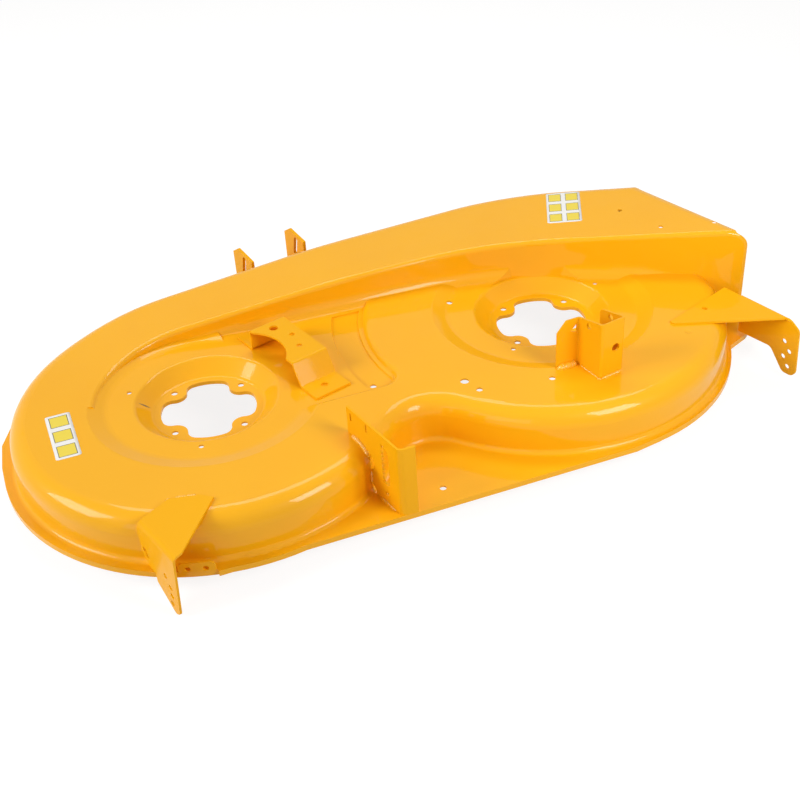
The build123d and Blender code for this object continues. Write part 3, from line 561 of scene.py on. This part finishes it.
def sticker_material(name, settings, fields_across, fields_along):
    """White vinyl with plain outlined fields printed on it, laid out on the sticker's own map"""
    material = new_material(name)
    tree = material.node_tree
    place = add_node(tree, "ShaderNodeUVMap", uv_map="print")
    cells = add_node(tree, "ShaderNodeVectorMath", operation="MULTIPLY")
    cells.inputs[1].default_value = (fields_across, fields_along, 1.0)
    tree.links.new(place.outputs["UV"], cells.inputs[0])
    cell = add_node(tree, "ShaderNodeVectorMath", operation="FRACTION")
    tree.links.new(cells.outputs["Vector"], cell.inputs[0])
    centred = add_node(tree, "ShaderNodeVectorMath", operation="SUBTRACT")
    centred.inputs[1].default_value = (0.5, 0.5, 0.0)
    tree.links.new(cell.outputs["Vector"], centred.inputs[0])
    size = add_node(tree, "ShaderNodeVectorMath", operation="ABSOLUTE")
    tree.links.new(centred.outputs["Vector"], size.inputs[0])
    parts = add_node(tree, "ShaderNodeSeparateXYZ")
    tree.links.new(size.outputs["Vector"], parts.inputs["Vector"])
    reach = value_node(tree, "MAXIMUM", parts.outputs["X"], parts.outputs["Y"])
    inside = value_node(tree, "LESS_THAN", reach, FIELD_REACH)
    framed = value_node(tree, "LESS_THAN", reach, OUTLINE_REACH)
    outline = add_node(tree, "ShaderNodeMix", data_type="RGBA")
    outline.inputs["A"].default_value = (*settings.vinyl, 1.0)
    outline.inputs["B"].default_value = (*settings.line, 1.0)
    tree.links.new(framed, outline.inputs["Factor"])
    filled = add_node(tree, "ShaderNodeMix", data_type="RGBA")
    filled.inputs["B"].default_value = (*settings.field, 1.0)
    tree.links.new(inside, filled.inputs["Factor"])
    tree.links.new(outline.outputs["Result"], filled.inputs["A"])
    place_object = add_node(tree, "ShaderNodeTexCoord")
    grain = add_node(tree, "ShaderNodeTexNoise")
    grain.inputs["Scale"].default_value = 240.0
    tree.links.new(place_object.outputs["Object"], grain.inputs["Vector"])
    rough = add_node(tree, "ShaderNodeMapRange")
    rough.inputs["To Min"].default_value = 0.25
    rough.inputs["To Max"].default_value = 0.40
    tree.links.new(grain.outputs["Fac"], rough.inputs["Value"])
    shader = add_node(tree, "ShaderNodeBsdfPrincipled")
    tree.links.new(filled.outputs["Result"], shader.inputs["Base Color"])
    tree.links.new(rough.outputs["Result"], shader.inputs["Roughness"])
    end = add_node(tree, "ShaderNodeOutputMaterial")
    tree.links.new(shader.outputs["BSDF"], end.inputs["Surface"])
    return material


def lay_sticker(name, centre, size, turn, settings, material):
    """Sheet of vinyl with round corners, laid down on the pressing from above"""
    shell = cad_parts[SHELL].data
    tree = BVHTree.FromPolygons([v.co for v in shell.vertices], [p.vertices for p in shell.polygons])
    width, length = size
    radius = settings.corner_radius
    ends = [radius * share for share in CORNER_ROWS]
    middle = [length * k / STICKER_ROWS for k in range(1, STICKER_ROWS)]
    steps = list(ends)
    steps += [y for y in middle if radius < y < length - radius]
    steps += [length - y for y in reversed(ends)]
    turned = Matrix.Rotation(turn, 2)
    start_height = 1.0
    down = Vector((0.0, 0.0, -1.0))
    mesh = bmesh.new()
    prints = mesh.loops.layers.uv.new("print")
    spots = {}
    grid = []
    for y in steps:
        depth = max(radius - min(y, length - y), 0.0)
        inset = radius - math.sqrt(radius ** 2 - depth ** 2)
        row = []
        for k in range(STICKER_COLUMNS + 1):
            x = inset + (width - 2 * inset) * k / STICKER_COLUMNS
            plan = Vector(centre) + turned @ Vector((x - width / 2, y - length / 2))
            hit, normal, _, _ = tree.ray_cast(Vector((*plan, start_height)), down)
            vertex = mesh.verts.new(hit + normal * STICKER_GAP)
            spots[vertex] = (x / width, y / length)
            row.append(vertex)
        grid.append(row)
    for low, high in zip(grid, grid[1:]):
        for k in range(STICKER_COLUMNS):
            face = mesh.faces.new((low[k], low[k + 1], high[k + 1], high[k]))
            face.smooth = True
            for loop in face.loops:
                loop[prints].uv = spots[loop.vert]
    sheet = bpy.data.meshes.new(name)
    mesh.to_mesh(sheet)
    mesh.free()
    sheet.materials.append(material)
    piece = bpy.data.objects.new(name, sheet)
    bpy.context.scene.collection.objects.link(piece)
    skin = piece.modifiers.new("vinyl", "SOLIDIFY")
    skin.thickness = settings.thickness
    skin.offset = 1.0
    return plain_mesh(piece, name)


class DECK_OT_paint_pressing(Operator):
    """Paints the pressing"""

    bl_idname = "deck.paint_pressing"
    bl_label = "Paint Pressing"

    def execute(self, context):
        dress_node(SHELL, pressing_paint(context.scene.deck_paint))
        return {"FINISHED"}


class DECK_OT_paint_brackets(Operator):
    """Paints the folded brackets"""

    bl_idname = "deck.paint_brackets"
    bl_label = "Paint Brackets"

    def execute(self, context):
        paint = bracket_paint(context.scene.deck_paint)
        for name in BRACKETS:
            dress_node(name, paint)
        return {"FINISHED"}


class DECK_OT_lay_welds(Operator):
    """Lays the weld beads along the feet of the brackets"""

    bl_idname = "deck.lay_welds"
    bl_label = "Lay Weld Beads"

    def execute(self, context):
        settings = context.scene.deck_welds
        tree = weld_bead_tree(weld_paint(context.scene.deck_paint))
        seam = seam_curve("weld_seams", idler_seams() + gusset_seams() + bracket_seams())
        modifier = seam.modifiers.new("weld_bead", "NODES")
        modifier.node_group = tree
        sizes = {"Bead Width": settings.bead_width, "Ripple Pitch": settings.ripple_pitch,
                 "Ripple Depth": settings.ripple_depth}
        for socket in tree.interface.items_tree:
            if socket.name in sizes:
                modifier[socket.identifier] = sizes[socket.name]
        beads = plain_mesh(seam, "weld_beads")
        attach(beads, "root")
        return {"FINISHED"}


class DECK_OT_lay_stickers(Operator):
    """Lays the two plain stickers on the pressing"""

    bl_idname = "deck.lay_stickers"
    bl_label = "Lay Stickers"

    def execute(self, context):
        settings = context.scene.deck_stickers
        left_print = sticker_material("left_sticker_print", settings, fields_across=1, fields_along=3)
        left = lay_sticker(
            "left_sticker", settings.left_centre, settings.left_size, settings.left_turn, settings,
            left_print)
        right_print = sticker_material("right_sticker_print", settings, fields_across=2, fields_along=3)
        right = lay_sticker(
            "right_sticker", settings.right_centre, settings.right_size, settings.right_turn, settings,
            right_print)
        for sticker in (left, right):
            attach(sticker, "root")
        return {"FINISHED"}


def area_light(name, place, target, size, power):
    """Rectangular soft lamp aimed at a point"""
    lamp = bpy.data.lights.new(name, "AREA")
    lamp.shape = "RECTANGLE"
    lamp.size, lamp.size_y = size
    lamp.energy = power
    light = bpy.data.objects.new(name, lamp)
    light.location = place
    light.rotation_euler = (Vector(target) - Vector(place)).to_track_quat("-Z", "Y").to_euler()
    bpy.context.scene.collection.objects.link(light)
    return light


def seen_directly(tree):
    """Socket that is 1 for rays that show a thing itself, straight, mirrored or through glass"""
    path = add_node(tree, "ShaderNodeLightPath")
    seen = value_node(tree, "MAXIMUM", path.outputs["Is Camera Ray"], path.outputs["Is Glossy Ray"])
    return value_node(tree, "MAXIMUM", seen, path.outputs["Is Transmission Ray"])


def studio_world(strength, tint, white):
    """Even light from all round, with a white backdrop where it is seen"""
    world = bpy.data.worlds.new("studio")
    world.use_nodes = True
    tree = world.node_tree
    tree.nodes.clear()
    even = add_node(tree, "ShaderNodeBackground")
    even.inputs["Color"].default_value = (*tint, 1.0)
    even.inputs["Strength"].default_value = strength
    backdrop = add_node(tree, "ShaderNodeBackground")
    backdrop.inputs["Color"].default_value = WHITE
    backdrop.inputs["Strength"].default_value = white
    mix = add_node(tree, "ShaderNodeMixShader")
    tree.links.new(seen_directly(tree), mix.inputs[0])
    tree.links.new(even.outputs[0], mix.inputs[1])
    tree.links.new(backdrop.outputs[0], mix.inputs[2])
    end = add_node(tree, "ShaderNodeOutputWorld")
    tree.links.new(mix.outputs[0], end.inputs["Surface"])
    return world


def floor_material(white):
    """Pale floor that looks white and keeps the deck's shadow"""
    material = new_material("studio_floor")
    tree = material.node_tree
    lit = add_node(tree, "ShaderNodeBsdfDiffuse")
    lit.inputs["Color"].default_value = FLOOR_BOUNCE
    grey = FLOOR_SUM - white
    shade = add_node(tree, "ShaderNodeBsdfDiffuse")
    shade.inputs["Color"].default_value = (grey, grey, grey, 1.0)
    glow = add_node(tree, "ShaderNodeEmission")
    glow.inputs["Color"].default_value = WHITE
    glow.inputs["Strength"].default_value = white
    pale = add_node(tree, "ShaderNodeAddShader")
    tree.links.new(shade.outputs[0], pale.inputs[0])
    tree.links.new(glow.outputs[0], pale.inputs[1])
    mix = add_node(tree, "ShaderNodeMixShader")
    tree.links.new(seen_directly(tree), mix.inputs[0])
    tree.links.new(lit.outputs[0], mix.inputs[1])
    tree.links.new(pale.outputs[0], mix.inputs[2])
    end = add_node(tree, "ShaderNodeOutputMaterial")
    tree.links.new(mix.outputs[0], end.inputs["Surface"])
    return material


def studio_floor(height, white):
    """Wide pale floor under the deck"""
    mesh = bpy.data.meshes.new("studio_floor")
    sides = ((-1, -1), (1, -1), (1, 1), (-1, 1))
    corners = [(FLOOR_REACH * x, FLOOR_REACH * y, height) for x, y in sides]
    mesh.from_pydata(corners, [], [(0, 1, 2, 3)])
    mesh.materials.append(floor_material(white))
    floor = bpy.data.objects.new("studio_floor", mesh)
    bpy.context.scene.collection.objects.link(floor)
    return floor


class DECK_OT_set_studio(Operator):
    """Sets the floor, the lamps, the world and the camera"""

    bl_idname = "deck.set_studio"
    bl_label = "Set Studio"

    def execute(self, context):
        settings = context.scene.deck_studio
        low, high = CAD_BOX
        studio_floor(low.z - FLOOR_GAP, settings.floor_white)
        middle = (low + high) / 2
        left_chamber = (-0.1, -0.1, 0.0)
        area_light(
            "back_box", place=(0.60, 0.85, 1.90), target=middle, size=(2.2, 0.55),
            power=settings.back_power)
        area_light(
            "left_box", place=(-2.70, 0.20, 1.63), target=left_chamber, size=(1.70, 1.50),
            power=settings.left_power)
        area_light(
            "right_box", place=(0.80, -1.05, 0.75), target=middle, size=(0.52, 0.52),
            power=settings.right_power)
        area_light(
            "fill_box", place=(-2.00, -2.20, 0.90), target=middle, size=(2.0, 1.4),
            power=settings.fill_power)
        context.scene.world = studio_world(settings.ambient, settings.ambient_tint, settings.backdrop_white)
        camera = bpy.data.objects.new("camera", bpy.data.cameras.new("camera"))
        camera.data.lens = settings.lens
        camera.data.sensor_width = SENSOR_WIDTH
        turn = Matrix.Rotation(settings.camera_heading, 4, "Z")
        tilt = Matrix.Rotation(math.pi / 2 - settings.camera_pitch, 4, "X")
        roll = Matrix.Rotation(settings.camera_roll, 4, "Z")
        camera.matrix_world = Matrix.Translation(settings.camera_place) @ turn @ tilt @ roll
        context.scene.collection.objects.link(camera)
        context.scene.camera = camera
        context.scene.view_settings.view_transform = "Standard"
        return {"FINISHED"}


class DECK_PT_sidebar(Panel):
    """Steps and settings of the deck's finish"""

    bl_idname = "DECK_PT_sidebar"
    bl_label = "Mower Deck"
    bl_space_type = "VIEW_3D"
    bl_region_type = "UI"
    bl_category = "Deck"

    def draw(self, context):
        layout = self.layout
        for operator in STEPS:
            layout.operator(operator.bl_idname)
        for group in SETTINGS:
            box = layout.box()
            box.label(text=group.replace("_", " ").title())
            values = getattr(context.scene, group)
            for name in values.__annotations__:
                box.prop(values, name)


SETTINGS = {
    "deck_paint": DeckPaintSettings,
    "deck_welds": WeldSettings,
    "deck_stickers": StickerSettings,
    "deck_studio": StudioSettings,
}
STEPS = (
    DECK_OT_paint_pressing,
    DECK_OT_paint_brackets,
    DECK_OT_lay_welds,
    DECK_OT_lay_stickers,
    DECK_OT_set_studio,
)


def register():
    """Adds the settings, the steps and the panel"""
    for name, settings in SETTINGS.items():
        bpy.utils.register_class(settings)
        setattr(bpy.types.Scene, name, PointerProperty(type=settings))
    for operator in STEPS:
        bpy.utils.register_class(operator)
    bpy.utils.register_class(DECK_PT_sidebar)


def unregister():
    """Takes the panel, the steps and the settings away again"""
    bpy.utils.unregister_class(DECK_PT_sidebar)
    for operator in reversed(STEPS):
        bpy.utils.unregister_class(operator)
    for name, settings in reversed(SETTINGS.items()):
        delattr(bpy.types.Scene, name)
        bpy.utils.unregister_class(settings)


def main():
    """Takes every step in order"""
    register()
    bpy.ops.deck.paint_pressing()
    bpy.ops.deck.paint_brackets()
    bpy.ops.deck.lay_welds()
    bpy.ops.deck.lay_stickers()
    bpy.ops.deck.set_studio()


if __name__ == "__main__":
    main()
